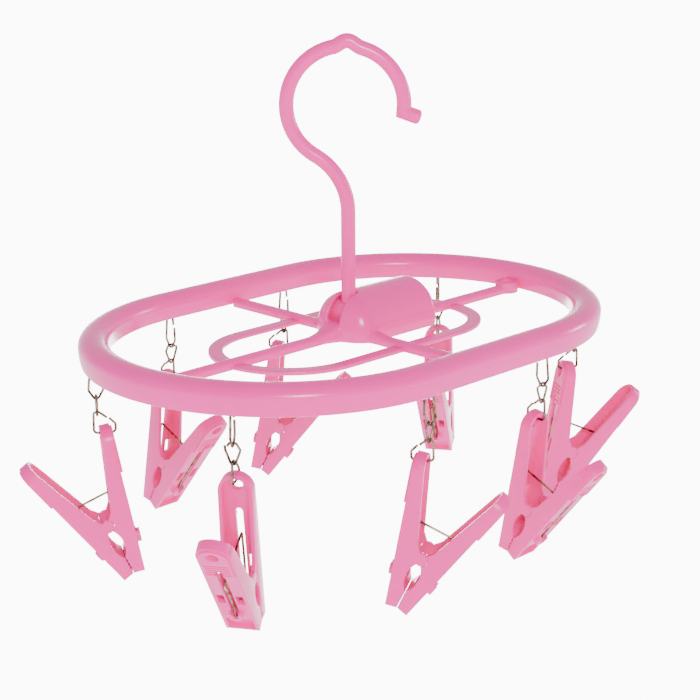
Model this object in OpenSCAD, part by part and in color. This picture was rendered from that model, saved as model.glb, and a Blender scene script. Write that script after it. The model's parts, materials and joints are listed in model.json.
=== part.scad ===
// Clip drying hanger: an oval rim with eight sprung clips on wire chains, hung from a hook
// that swivels and folds down in a hub. Millimetres, +Z up. The origin is on the hook's inner
// seat, where the hanger rests on a rail. +X runs along the rim's length.

/* [Rim] */
// Overall length of the oval rim
rim_l = 270; // [225:1:324]
// Overall width of the oval rim
rim_w = 187; // [156:1:224]
// Thickness of the rim across its widest level
rim_t = 14; // [12:0.5:17]
// Wall of the rim's hollow underside
rim_wall = 1.8; // [1.4:0.1:2.4]
// Height of the rim's domed top above the spokes' middle
rim_top = 10.9; // [9:0.1:13]
// Height of the rim's widest level above the spokes' middle
rim_bulge = 5.5; // [4:0.1:6.5]
// Depth of the rim's outer lower edge below the spokes' middle
rim_drop_out = 2.4; // [1.5:0.1:4]
// Depth of the rim's inner lower edge below the spokes' middle
rim_drop_in = 1.2; // [0.5:0.1:3]
// How much the walls draw in from the widest level to the lower edge
rim_draft = 1.1; // [0.5:0.1:1.5]

/* [Spokes and inner loop] */
// Width of a spoke
spoke_w = 6; // [5:0.1:8]
// Height of a spoke
spoke_h = 4.5; // [3.5:0.1:6]
// Length of the inner loop over its band's middle line
loop_l = 144.6; // [125:0.1:170]
// Width of the inner loop over its band's middle line
loop_w = 69.8; // [60:0.1:84]
// Width of the inner loop's flat band
loop_band = 6.8; // [4:0.1:8]
// Thickness of the inner loop's flat band
loop_t = 2; // [1.5:0.1:3]
// Distance of the ring boss from the rim's outer end
boss_inset = 18.5; // [17:0.1:25]
// Outside diameter of the ring boss
boss_d = 12; // [10:0.1:14]
// Bore of the ring boss
boss_bore_d = 6.4; // [4:0.1:7.5]
// Height of the ring boss
boss_h = 6; // [5:0.1:8]

/* [Hub] */
// Outside diameter of the hub shell
hub_d = 35; // [33:0.5:42]
// Wall of the hub shell
hub_wall = 2; // [1.5:0.1:2.5]
// Length of the hub shell from the hook's axis to its flat end
hub_end = 43.5; // [36:0.5:52]
// Length of the hub shell's rounded nose in front of the hook's axis
hub_nose = 12; // [10:0.5:16]
// Height of the hub shell's axis above the spokes' middle
hub_axis_z = 2; // [1:0.1:3]
// Width of the slot that the hook folds through
slot_w = 8.5; // [8:0.1:11]
// Height of the fold pin's axis above the spokes' middle
pivot_z = 9.2; // [9:0.1:9.6]
// Diameter of the swivel block's barrel
barrel_d = 12; // [11:0.1:12.4]
// Diameter of the swivel block's end journals
journal_d = 8; // [6:0.1:9]

/* [Hook] */
// Diameter of the hook's rod
rod_d = 6.9; // [6:0.1:7.6]
// Height of the straight stem's upper end above the spokes' middle
stem_top = 57.4; // [50:0.1:70]
// Radius of the neck's bend, on the rod's middle line
neck_r = 31; // [26:0.1:37]
// Angle that the neck bends through
neck_a = 58.9; // [54:0.1:62]
// Radius of the rail ring, on the rod's middle line
ring_r = 26.9; // [23:0.1:33]
// Angle of the ring's open end, below the ring's middle level
ring_end_a = 7; // [0:1:15]
// Length of the turned-out toe
toe_l = 8.3; // [6:0.1:11]
// Slope of the toe below the horizontal
toe_a = 20; // [10:1:30]
// Rise of the centring hump over the seat
hump_rise = 2.45; // [1.5:0.05:3]
// Half width of the centring hump
hump_w = 6.5; // [5:0.1:8]
// Turn of the hook's plane from the rim's length as it hangs
hook_turn = -45; // [-60:1:60]

/* [Chains] */
// Diameter of the chain wire
wire_d = 1.2; // [1:0.05:1.4]
// Diameter of the moulded bar that a chain hangs on
bar_d = 2.4; // [2:0.1:2.8]
// Free gap left where one wire hangs on the next
hang_gap = 0.15; // [0.1:0.05:0.25]
// Height of the upper link over its wire's middle line
top_link_h = 19.1; // [17:0.1:22]
// Height of the middle link over its wire's middle line
mid_link_h = 9.2; // [8:0.1:11]
// Height of the lower link over its wire's middle line
low_link_h = 9.8; // [9:0.1:12]
// Width of a link over its wire's middle lines, at its shoulders
link_w = 6.6; // [5.6:0.1:7.6]
// Angle of an end clip's station round the rim's end
station_a = 32.3; // [25:0.1:40]
// Distance of a side clip's station from the end of the straight side
station_inset = 3.2; // [3:0.1:12]
// Twist of the clip behind the hook's far side
twist_4 = 35; // [0:1:45]
// Twist of the clip beside the near spoke
twist_5 = 30; // [0:1:45]

/* [Clips] */
// Length of a clip leg along its outer face
leg_l = 71; // [60:0.5:85]
// Width of a clip leg
leg_w = 15; // [13.5:0.1:18]
// Thickness of a leg's plate
plate_t = 2; // [1.6:0.1:2.4]
// Thickness of a leg's side flanges
flange_t = 1.6; // [1.2:0.1:2]
// Depth of a leg at its thumb end
tip_depth = 4.6; // [4:0.1:6]
// Depth of a leg just above the fulcrum
root_depth = 8.8; // [8:0.1:9.4]
// Depth of a leg at its nose
nose_depth = 5.3; // [4.8:0.1:6]
// Angle between a leg's outer face and the clip's middle plane
leg_a = 14; // [12:0.5:15]
// Height of the fulcrum above the jaw's lower lips
fulcrum_z = 26; // [24:0.5:30]
// Radius of the fulcrum's interlocking lobes
lobe_r = 3; // [2.6:0.1:3.2]
// Half width of the lens-shaped grip between the jaws
grip_half_w = 3; // [2:0.1:3.4]
// Length of the lens-shaped grip
grip_l = 15.9; // [12:0.1:17]
// Diameter of the eye near a leg's thumb end
eye_d = 5.6; // [5:0.1:6]
// Distance of the eye from a leg's thumb end
eye_inset = 5.8; // [5:0.1:7]
// Thickness of the raised thumb pad
pad_t = 1; // [0.6:0.1:1.2]
// Width of the slot that the spring's arm lies in
arm_slot_w = 3.4; // [3:0.1:4]
// Diameter of the spring button
button_d = 6.6; // [6:0.1:7.5]
// Height of the spring button above the leg's face
button_h = 2; // [1.5:0.1:2.5]
// Diameter of the spring wire
spring_d = 1.1; // [0.9:0.05:1.3]
// Lean of a hung leg from the vertical as the clip hangs
hung_lean = 10.5; // [8:0.1:14]
// Distance from a chain's line back to the hung leg's plate at its eye
hang_offset = 5.24; // [4.5:0.01:6.5]

/* [Hidden] */
$fn = 48;
EPS = 0.01;
FIT = 0.05;
BODY_GAP = 0.3;
SECTION_STEPS = 14;
NECK_STEPS = 8;
RING_STEPS = 48;
ROD_SIDES = 24;
PLUG_REACH = 20;

rim_r = (rim_w - rim_t) / 2;
spine = (rim_l - rim_w) / 2;
cavity_w = rim_t - 2 * rim_wall;
crown_z = rim_bulge + 0.55 * (rim_top - rim_wall - rim_bulge);
spoke_top = spoke_h / 2;
spoke_bottom = -spoke_h / 2;
loop_end_r = loop_w / 2;
loop_spine = (loop_l - loop_w) / 2;
boss_x = rim_l / 2 - boss_inset;

rod_r = rod_d / 2;
ring_x = -neck_r + (neck_r + ring_r) * cos(neck_a);
ring_z = stem_top + (neck_r + ring_r) * sin(neck_a);
hump_z = ring_z + ring_r + hump_rise;
seat_z = hump_z - rod_r;
barrel_r = barrel_d / 2;
barrel_half = 7.8;
cheek_in = barrel_half + 0.2;
cheek_t = 2.6;
cheek_half_l = 8;
shoulder_z = pivot_z + barrel_r - 0.9;
retainer_r = 3.2;
retainer_h = 1.6;
retainer_z = pivot_z - barrel_r + BODY_GAP;
stem_neck_r = 2.5;
toe_dome = 1.6;
slot_floor = spoke_top + 0.75;

wire_r = wire_d / 2;
bar_r = bar_d / 2;
hang = wire_d + hang_gap;
top_link_z = bar_r + wire_r + hang_gap;
mid_link_z = top_link_z - top_link_h + hang;
low_link_z = mid_link_z - mid_link_h + hang;
eye_z = low_link_z - low_link_h;
web_gap = 4.4;
web_t = 1.5;
web_bottom = -1;
web_top = crown_z + 0.5;

leg_half = leg_w / 2;
nose_z = -fulcrum_z - 1.2;
seat_gap = BODY_GAP / 2;
grip_top = -1.5;
grip_r = (pow(grip_l / 2, 2) + pow(grip_half_w, 2)) / (2 * grip_half_w);
arch_s = leg_l - leg_half;
eye_s = leg_l - eye_inset;
root_s = 32;
cavity_half = leg_half - flange_t;
cavity_s = 12;
recess_low = 1.2;
recess_high = 10.5;
recess_t = 2;
button_s = 15;
slot_low = 17;
slot_high = leg_l - 19;
window_s = 27.4;
window_w = 3.2;
window_h = 7;
window_y = 4.2;
pad_low = leg_l - 22;
pad_margin = 1.2;
groove_step = 1.8;
groove_d = 0.5;
crown_s = leg_l - 30;
arm_lift = 0.9;
lean = leg_a + hung_lean;
hang_depth = (plate_t - pad_t) / 2;
hang_s = eye_s + eye_d / 2 - wire_r - (plate_t + pad_t) / 2 * tan(hung_lean) - hang_gap;

// Each clip station: middle point, outward angle, turn of the clip (0 out, 180 in), twist.
side_x = spine - station_inset;
end_x = spine + rim_r * cos(station_a);
end_y = rim_r * sin(station_a);
STATIONS = [
    [[-end_x, end_y], 180 - station_a, 0, 0],
    [[-side_x, rim_r], 90, 180, 0],
    [[-end_x, -end_y], 180 + station_a, 0, 0],
    [[side_x, rim_r], 90, 180, twist_4],
    [[-side_x, -rim_r], 270, 0, twist_5],
    [[end_x, end_y], station_a, 180, 0],
    [[side_x, -rim_r], 270, 0, 0],
    [[end_x, -end_y], -station_a, 0, 0],
];

// Points on an elliptical arc, from angle a0 to a1.
function arc_points(centre, rx, ry, a0, a1, steps) = [
    for (i = [0:steps])
        let (a = a0 + (a1 - a0) * i / steps)
            [centre.x + rx * cos(a), centre.y + ry * sin(a)]
];

// Puts the children in the frame whose origin is the hook's seat.
module placed() {
    translate([0, 0, -seat_z]) children();
}

// Puts the children at one clip station: +X outward from the rim, +Z up.
module at_station(i) {
    s = STATIONS[i - 1];
    placed() translate([s[0].x, s[0].y, 0]) rotate([0, 0, s[1]]) children();
}

// A ball at a point in the XZ plane, a hair larger than the rod that it ends.
module ball(p, r) {
    translate([p.x, 0, p.y]) sphere(r = r * 1.01);
}

// A round rod in the XZ plane from a to b, with a ball at a.
module rod(a, b, r) {
    d = b - a;
    translate([a.x, 0, a.y]) rotate([0, atan2(d.x, d.y), 0]) cylinder(h = norm(d), r = r);
    ball(a, r);
}

// A closed loop of round wire through points in the XZ plane.
module wire_loop(points, r) {
    last = len(points) - 1;
    for (i = [0:last]) rod(points[i], points[i == last ? 0 : i + 1], r);
}

// ---- rim ----

// The rim's section, with X outward from its middle line. inset takes the walls in.
module rim_section(inset, low_out, low_in) {
    half = rim_t / 2 - inset;
    dome = arc_points([0, rim_bulge], half, rim_top - rim_bulge - inset, 0, 180, SECTION_STEPS);
    polygon(concat([[half - rim_draft, -low_out]], dome, [[-half + rim_draft, -low_in]]));
}

// Carries a section round the whole oval: two straight sides and two half-round ends.
module round_oval(half_straight, r) {
    for (side = [0, 1]) {
        mirror([0, side, 0])
            translate([-half_straight, r, 0])
                rotate([90, 0, 90]) linear_extrude(height = 2 * half_straight) children();
        mirror([side, 0, 0])
            translate([half_straight, 0, 0])
                rotate([0, 0, -90])
                    rotate_extrude(angle = 180, $fn = 96) translate([r, 0]) children();
    }
}

// The two cross webs and the bar that carry one chain inside the rim's hollow.
module chain_anchor() {
    for (side = [-1, 1]) {
        y0 = side > 0 ? web_gap : -web_gap - web_t;
        translate([-cavity_w / 2 - 0.2, y0, web_bottom])
            cube([cavity_w + 0.4, web_t, web_top - web_bottom]);
    }
    rotate([90, 0, 0]) cylinder(h = 2 * web_gap + web_t, r = bar_r, center = true);
}

// The rim's whole wall: the section with the smaller one taken out of it.
module rim_wall_shell() {
    difference() {
        round_oval(spine, rim_r) rim_section(0, rim_drop_out, rim_drop_in);
        round_oval(spine, rim_r) rim_section(rim_wall, rim_drop_out + 1, rim_drop_out + 1);
    }
}

// An upright oval plug of end radius r, round the rim's two centres.
module oval_plug(r, low, high) {
    translate([0, 0, low]) linear_extrude(height = high - low) {
        square([2 * spine, 2 * r], center = true);
        for (side = [-1, 1]) translate([side * spine, 0]) circle(r = r, $fn = 96);
    }
}

// The rim is one moulding, drawn as its crown, its two skirts and the chains' bars and webs.
module rim_crown() {
    color("hotpink") placed() intersection() {
        rim_wall_shell();
        oval_plug(rim_r + rim_t, crown_z, rim_top + 1);
    }
}

module rim_outer_skirt() {
    color("hotpink") placed() intersection() {
        rim_wall_shell();
        difference() {
            oval_plug(rim_r + rim_t, -PLUG_REACH, crown_z);
            oval_plug(rim_r, -PLUG_REACH - 1, crown_z + 1);
        }
    }
}

module rim_inner_skirt() {
    color("hotpink") placed() intersection() {
        rim_wall_shell();
        oval_plug(rim_r, -PLUG_REACH, crown_z);
    }
}

module chain_bars() {
    color("deeppink") difference() {
        for (i = [1:8]) at_station(i) chain_anchor();
        placed() rim_wall_shell();
    }
}

// ---- spokes ----

// One spoke along +X, flat below and rounded above, out to the rim's middle line.
module spoke(reach) {
    round_r = spoke_w / 2;
    flat_h = spoke_h - 1.5;
    translate([0, -round_r, spoke_bottom]) cube([reach, spoke_w, flat_h]);
    intersection() {
        translate([0, -round_r, spoke_bottom]) cube([reach, spoke_w, spoke_h]);
        translate([0, 0, spoke_top - 3.75]) rotate([0, 90, 0]) cylinder(h = reach, r = 3.75);
    }
}

module spoke_cross() {
    for (a = [0, 180]) rotate([0, 0, a]) spoke(spine + rim_r);
    for (a = [90, 270]) rotate([0, 0, a]) spoke(rim_r);
}

// Everything inside the rim, where the spokes end.
module rim_inner_space() {
    oval_plug(rim_r - rim_t / 2, -PLUG_REACH, PLUG_REACH);
}

module spokes() {
    color("palevioletred") placed() difference() {
        intersection() {
            union() {
                spoke_cross();
                translate([boss_x, 0, spoke_bottom]) cylinder(h = boss_h, d = boss_d);
                // Small moulded stop under the near spoke.
                translate([-1.5, -62, spoke_bottom - 3]) cube([3, 9, 3 + spoke_h / 2]);
            }
            rim_inner_space();
        }
        translate([boss_x, 0, spoke_bottom - 1]) cylinder(h = boss_h + 2, d = boss_bore_d);
    }
}

// ---- inner loop ----

module inner_loop() {
    color("hotpink") placed() difference() {
        round_oval(loop_spine, loop_end_r)
            translate([-loop_band / 2, spoke_bottom]) square([loop_band, loop_t]);
        spoke_cross();
    }
}

// ---- hub ----

// The hub shell's lengthwise outline, taken in by inset, as radius against length.
module hub_outline(inset) {
    r = hub_d / 2 - inset;
    nose = hub_nose - inset;
    edge = 2.5;
    polygon(concat(
        [[0, -nose]],
        [for (p = arc_points([0, 0], nose, r, 175, 90, 9)) [p.y, p.x]],
        [for (p = arc_points([hub_end - inset - edge, r - edge], edge, edge, 90, 0, 4)) [p.y, p.x]],
        [[0, hub_end - inset]]
    ));
}

module hub_solid(inset) {
    translate([0, 0, hub_axis_z]) rotate([0, 90, 0])
        rotate_extrude($fn = 96) hub_outline(inset);
}

// The two inner cheeks that carry the swivel block's journals.
module hub_cheeks() {
    for (side = [0, 1]) mirror([0, side, 0])
        translate([-cheek_half_l, cheek_in, spoke_bottom])
            cube([2 * cheek_half_l, cheek_t, hub_d]);
}

module hub_housing() {
    color("deeppink") placed() difference() {
        union() {
            difference() {
                hub_solid(0);
                hub_solid(hub_wall);
            }
            intersection() {
                hub_cheeks();
                hub_solid(hub_wall / 2);
            }
        }
        translate([-hub_end, -hub_d, spoke_bottom - hub_d]) cube([3 * hub_end, 2 * hub_d, hub_d]);
        translate([-2 * hub_nose, -slot_w / 2, slot_floor]) cube([2 * hub_nose, slot_w, hub_d]);
        translate([0, 0, slot_floor]) cylinder(h = hub_d, d = slot_w);
        translate([0, 0, pivot_z]) rotate([90, 0, 0])
            cylinder(h = hub_d - 3 * hub_wall, r = journal_d / 2 + FIT, center = true);
        spoke_cross();
    }
}

// ---- swivel block, hook and its retainer ----

module swivel_block() {
    color("mediumvioletred") placed() difference() {
        translate([0, 0, pivot_z]) rotate([90, 0, 0]) {
            cylinder(h = 2 * barrel_half, r = barrel_r, center = true);
            cylinder(h = 2 * (cheek_in + cheek_t), d = journal_d, center = true);
        }
        translate([0, 0, pivot_z - barrel_r - 1]) cylinder(h = barrel_d + 2, r = stem_neck_r + FIT);
        translate([0, 0, shoulder_z]) cylinder(h = barrel_r, r = rod_r + BODY_GAP);
        translate([0, 0, pivot_z - barrel_r - 1])
            cylinder(h = retainer_h + BODY_GAP + 1 + FIT, r = retainer_r + BODY_GAP);
    }
}

// The ring's radius at angle a: a smooth hump stands over the stem, to centre the hook on a rail.
function ring_radius(a) =
    let (h = ring_x + ring_r * cos(a))
        ring_r + (sin(a) > 0 && abs(h) < hump_w ? hump_rise * (1 + cos(180 * h / hump_w)) / 2 : 0);

// The rod's middle line in the hook's plane as [x, z, radius]: the straight stem, the neck's bend,
// the ring to its open end, and the toe, which turns out from a sharp corner and ends in a dome.
function hook_path() =
    let (
        centre = [ring_x, ring_z],
        corner = centre + ring_r * [cos(ring_end_a), -sin(ring_end_a)],
        toe_way = [cos(toe_a), -sin(toe_a)],
        stem_and_neck = concat(
            [[0, shoulder_z + FIT]],
            arc_points([-neck_r, stem_top], neck_r, neck_r, 0, neck_a, NECK_STEPS)
        ),
        ring = [for (k = [1:RING_STEPS - 2])
            let (a = 180 + neck_a - (180 + neck_a + ring_end_a) * k / RING_STEPS)
                centre + ring_radius(a) * [cos(a), sin(a)]],
        toe = [for (a = [0:30:60]) corner + (toe_l - toe_dome * (1 - sin(a))) * toe_way]
    )
    concat(
        [for (p = concat(stem_and_neck, ring, [corner])) [p.x, p.y, rod_r]],
        [for (k = [0:2]) [toe[k].x, toe[k].y, rod_r - toe_dome * (1 - cos(30 * k))]],
        [let (p = corner + toe_l * toe_way) [p.x, p.y, rod_r - toe_dome]]
    );

// A round rod along a path of [x, z, radius] in the XZ plane, mitred at its corners, with its
// first end square to Z.
module swept_rod(path) {
    last = len(path) - 1;
    middle = [for (p = path) [p.x, p.y]];
    points = [
        for (i = [0:last])
            let (
                before = i == 0 ? [0, 1] : (middle[i] - middle[i - 1]) / norm(middle[i] - middle[i - 1]),
                after = i == last ? before : (middle[i + 1] - middle[i]) / norm(middle[i + 1] - middle[i]),
                mean = (i == 0 ? before : before + after) / (i == 0 ? 1 : 2),
                across = [mean.y, -mean.x] / (mean * mean)
            )
            for (k = [0:ROD_SIDES - 1])
                let (q = 360 * k / ROD_SIDES, r = path[i][2])
                    [path[i].x + r * cos(q) * across.x, r * sin(q), path[i].y + r * cos(q) * across.y]
    ];
    sides = [
        for (i = [0:last - 1], k = [0:ROD_SIDES - 1])
            let (a = i * ROD_SIDES + k, b = i * ROD_SIDES + (k + 1) % ROD_SIDES)
                [a, a + ROD_SIDES, b + ROD_SIDES, b]
    ];
    polyhedron(
        points = points,
        faces = concat(
            [[for (k = [0:ROD_SIDES - 1]) k]],
            sides,
            [[for (k = [0:ROD_SIDES - 1]) last * ROD_SIDES + ROD_SIDES - 1 - k]]
        ),
        convexity = 6
    );
}

module hook() {
    color("hotpink") placed() rotate([0, 0, hook_turn]) {
        translate([0, 0, retainer_z]) cylinder(h = shoulder_z - retainer_z + 1, r = stem_neck_r);
        swept_rod(hook_path());
    }
}

module hook_retainer() {
    color("silver") placed() translate([0, 0, retainer_z]) difference() {
        cylinder(h = retainer_h, r = retainer_r);
        translate([0, 0, -1]) cylinder(h = retainer_h + 2, r = stem_neck_r);
    }
}

// ---- chain links ----

// A kite-shaped link hanging down from its top wire's middle point. shoulder is how far down
// the link's widest level lies.
module kite_link(h, shoulder, top_half, bottom_half) {
    w = link_w / 2;
    wire_loop([
        [-top_half, 0], [top_half, 0], [w, -shoulder],
        [bottom_half, -h], [-bottom_half, -h], [-w, -shoulder]
    ], wire_r);
}

module link_top(i) {
    color("tan") at_station(i) translate([0, 0, top_link_z])
        kite_link(top_link_h, top_link_h - 4, bar_r + wire_r, 0.9);
}

module link_mid(i) {
    color("tan") at_station(i) rotate([0, 0, STATIONS[i - 1][3] / 2 + 90])
        translate([0, 0, mid_link_z]) kite_link(mid_link_h, 3, 1.5, 0.9);
}

// Turns the children so that +X points the way that the clip's free leg does.
module facing(i) {
    s = STATIONS[i - 1];
    at_station(i) rotate([0, 0, s[2] + s[3]]) children();
}

// The lower link leans back to reach round the thumb end of the hung leg.
module link_low(i) {
    back = hang_offset + pad_t + wire_r + 1.2;
    shoulder = low_link_h - 1;
    color("tan") facing(i) translate([0, 0, low_link_z])
        wire_loop([
            [-0.9, 0], [1.6, 0], [1.8, -shoulder], [0.6, -low_link_h],
            [-back + 1, -low_link_h], [-back, -shoulder], [-back, -0.6 * low_link_h]
        ], wire_r);
}

// ---- clips ----
// A leg is drawn with the fulcrum's axis on Y at the origin and +Z up the clip's middle plane.
// Its own face frame has S up the outer face from the nose and D inward from that face.

// Puts the children in the face frame: X is inward depth, Z is the distance S up the face.
module on_face() {
    translate([nose_depth, 0, nose_z]) rotate([0, leg_a, 0]) mirror([1, 0, 0]) children();
}

// The point at distance s up the outer face and depth d, in the clip's middle plane frame.
function face_point(s, d) = [
    nose_depth + s * sin(leg_a) - d * cos(leg_a),
    nose_z + s * cos(leg_a) + d * sin(leg_a)
];

// The leg seen from its side, as a block of the full width.
module leg_side(width) {
    translate([0, width / 2, 0]) rotate([90, 0, 0]) linear_extrude(height = width) polygon([
        face_point(0, 0),
        face_point(leg_l, 0),
        face_point(leg_l, tip_depth),
        face_point(root_s, root_depth),
        [seat_gap, 1],
        [seat_gap, -fulcrum_z]
    ]);
}

// The leg's outline seen square to its face: a round thumb end and a slightly rounded nose.
module leg_face(half, low) {
    rotate([90, 0, 90]) translate([0, 0, -5]) linear_extrude(height = 25) {
        translate([-half, low]) square([2 * half, arch_s - low]);
        translate([0, arch_s]) circle(r = half);
    }
}

// The hollow between the flanges, open towards the middle plane.
module leg_hollow() {
    on_face() translate([plate_t, 0, 0]) rotate([90, 0, 90]) linear_extrude(height = 20) {
        translate([-cavity_half, cavity_s]) square([2 * cavity_half, arch_s - cavity_s]);
        translate([0, arch_s]) circle(r = cavity_half);
    }
}

// The raised thumb pad with its grip grooves.
module thumb_pad() {
    half = leg_half - pad_margin;
    difference() {
        translate([-pad_t, 0, 0]) rotate([90, 0, 90]) linear_extrude(height = pad_t + 0.5) {
            translate([-half, pad_low]) square([2 * half, arch_s - pad_low]);
            translate([0, arch_s]) circle(r = half);
        }
        for (k = [0:4])
            translate([-pad_t - 1, -half + 1, pad_low + 1.5 + k * groove_step])
                cube([1 + groove_d, 2 * half - 2, groove_step / 2]);
    }
}

// The slot for the spring's arm, round at both ends.
module arm_slot() {
    r = arm_slot_w / 2;
    translate([-5, 0, 0]) rotate([90, 0, 90]) linear_extrude(height = 5 + plate_t + EPS) {
        translate([-r, slot_low]) square([arm_slot_w, slot_high - slot_low]);
        for (s = [slot_low, slot_high]) translate([0, s]) circle(r = r);
    }
}

module leg() {
    difference() {
        union() {
            intersection() {
                leg_side(leg_w);
                on_face() leg_face(leg_half, 0);
            }
            on_face() thumb_pad();
            on_face() translate([-button_h, 0, button_s]) rotate([0, 90, 0])
                cylinder(h = button_h + 0.5, d = button_d);
        }
        leg_hollow();
        on_face() arm_slot();
        on_face() translate([-button_h - 1, -1, button_s - 1.5])
            cube([button_h + 1.5, 2, button_d]);
        on_face() translate([-1, -cavity_half, recess_low])
            cube([1 + recess_t, 2 * cavity_half, recess_high - recess_low]);
        for (side = [-1, 1]) on_face()
            translate([-1, side * window_y - window_w / 2, window_s - window_h / 2])
                cube([2 + plate_t, window_w, window_h]);
        on_face() translate([-3, 0, eye_s]) rotate([0, 90, 0])
            cylinder(h = plate_t + 4, d = eye_d);
        translate([grip_half_w - grip_r, 0, grip_top - grip_l / 2]) rotate([90, 0, 0])
            cylinder(h = leg_w + 2, r = grip_r, center = true, $fn = 96);
        // Socket for the other leg's lobe.
        translate([0, -cavity_half + flange_t, 0]) rotate([90, 0, 0])
            cylinder(h = 3 * flange_t, r = lobe_r + BODY_GAP / 2);
        // Teeth across the lips.
        for (k = [0:3]) translate([0, 0, -fulcrum_z + 1.2 + 1.9 * k]) rotate([0, 45, 0])
            cube([0.9, leg_w + 2, 0.9], center = true);
    }
    // Lobe that rolls in the other leg's socket.
    translate([0, leg_half, 0]) rotate([90, 0, 0]) cylinder(h = flange_t - 0.05, r = lobe_r);
}

// Hangs a whole clip, drawn round its fulcrum, from its chain.
module hung(i) {
    pivot = face_point(hang_s, hang_depth);
    facing(i) translate([-hang_offset, 0, eye_z]) rotate([0, lean, 0])
        translate([pivot.x, 0, -pivot.y]) children();
}

module jaw_free(i) {
    color("hotpink") hung(i) leg();
}

module jaw_hung(i) {
    color("hotpink") hung(i) rotate([0, 0, 180]) leg();
}

// The bent wire that joins the legs: a crown across the clip and an arm down each leg.
module spring(i) {
    r = spring_d / 2;
    crown = face_point(crown_s, -arm_lift);
    bow = face_point(crown_s - 11, -arm_lift - 0.4);
    end_s = button_s + 0.3;
    tip = face_point(end_s, -arm_lift);
    color("tan") hung(i) {
        rod([crown.x, crown.y], [-crown.x, crown.y], r);
        for (side = [-1, 1]) {
            rod([side * crown.x, crown.y], [side * bow.x, bow.y], r);
            rod([side * bow.x, bow.y], [side * tip.x, tip.y], r);
            ball([side * tip.x, tip.y], r);
        }
    }
}

rim_crown();
rim_outer_skirt();
rim_inner_skirt();
chain_bars();
spokes();
inner_loop();
hub_housing();
swivel_block();
hook();
hook_retainer();
for (i = [1:8]) {
    link_top(i);
    link_mid(i);
    link_low(i);
    jaw_hung(i);
    jaw_free(i);
    spring(i);
}
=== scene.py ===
"""The looks of a clip drying hanger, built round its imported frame.

Each sub-assembly is a class: its sizes are dataclass fields in metres, its build methods work out
surfaces with numpy, and its dress method gives them a finish. Places come from the frame's boxes
and joints. The row's origin is on the hook's inner seat, with +Z up.
"""

from __future__ import annotations

import json
import logging
import math
from dataclasses import dataclass, field
from enum import Enum
from typing import Any, Sequence

import bmesh
import bpy
import numpy as np
from mathutils import Matrix, Vector


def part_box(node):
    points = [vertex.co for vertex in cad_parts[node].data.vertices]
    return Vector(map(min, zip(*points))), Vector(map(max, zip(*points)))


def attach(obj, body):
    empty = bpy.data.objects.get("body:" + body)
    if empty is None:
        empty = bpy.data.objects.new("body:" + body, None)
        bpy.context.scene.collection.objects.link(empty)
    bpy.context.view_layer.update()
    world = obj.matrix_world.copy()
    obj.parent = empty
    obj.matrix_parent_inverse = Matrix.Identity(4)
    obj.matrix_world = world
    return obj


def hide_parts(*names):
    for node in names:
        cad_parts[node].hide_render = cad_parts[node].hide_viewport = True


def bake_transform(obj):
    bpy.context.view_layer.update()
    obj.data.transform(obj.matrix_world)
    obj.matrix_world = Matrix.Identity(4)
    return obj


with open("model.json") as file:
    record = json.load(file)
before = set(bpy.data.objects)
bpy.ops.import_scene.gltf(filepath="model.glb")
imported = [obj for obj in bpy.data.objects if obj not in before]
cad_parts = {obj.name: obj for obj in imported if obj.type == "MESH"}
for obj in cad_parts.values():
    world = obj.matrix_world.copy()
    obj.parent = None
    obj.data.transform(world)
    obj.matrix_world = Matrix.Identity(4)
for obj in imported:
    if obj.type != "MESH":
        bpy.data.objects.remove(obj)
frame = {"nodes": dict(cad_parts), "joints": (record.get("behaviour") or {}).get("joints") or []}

log = logging.getLogger("hanger")

MM = 0.001
CLIPS = range(1, 9)
Array = np.ndarray
# Points drawn round one bend, and the most of a short side that a bend may take.
BEND_POINTS = 7
BEND_SHARE = 0.48
# Least squared length of a mean direction, which keeps a very sharp mitre from growing long.
MITRE_FLOOR = 0.2


# ---- colour and node helpers ----


def linear(code: str) -> tuple[float, float, float, float]:
    """Turns an sRGB hex colour into a linear one.

    Args:
        code: Six hex digits after a hash, such as "#FF8FBF".

    Returns:
        Red, green, blue and an alpha of 1, each channel c as ((c + 0.055) / 1.055) ** 2.4,
        or c / 12.92 near black.
    """
    channels = [int(code[i : i + 2], 16) / 255 for i in (1, 3, 5)]
    r, g, b = [c / 12.92 if c <= 0.04045 else ((c + 0.055) / 1.055) ** 2.4 for c in channels]
    return r, g, b, 1.0


def add_node(
    tree: bpy.types.NodeTree, kind: str, inputs: dict[Any, Any], **settings: Any
) -> bpy.types.Node:
    """Adds a shader node.

    Args:
        tree: The material's node tree.
        kind: The node's Blender type.
        inputs: Socket name or index to a value, or to an output socket to link.
        **settings: Attributes of the node.

    Returns:
        The new node.
    """
    node = tree.nodes.new(kind)
    for key, value in settings.items():
        setattr(node, key, value)
    for key, value in inputs.items():
        if isinstance(value, bpy.types.NodeSocket):
            tree.links.new(value, node.inputs[key])
        else:
            node.inputs[key].default_value = value
    return node


def new_material(name: str) -> tuple[bpy.types.Material, bpy.types.NodeTree]:
    """Makes a material with an empty node tree.

    Args:
        name: The finish's name.

    Returns:
        The material and its tree.
    """
    material = bpy.data.materials.new(name)
    material.use_nodes = True
    material.node_tree.nodes.clear()
    return material, material.node_tree


# ---- finishes ----


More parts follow.
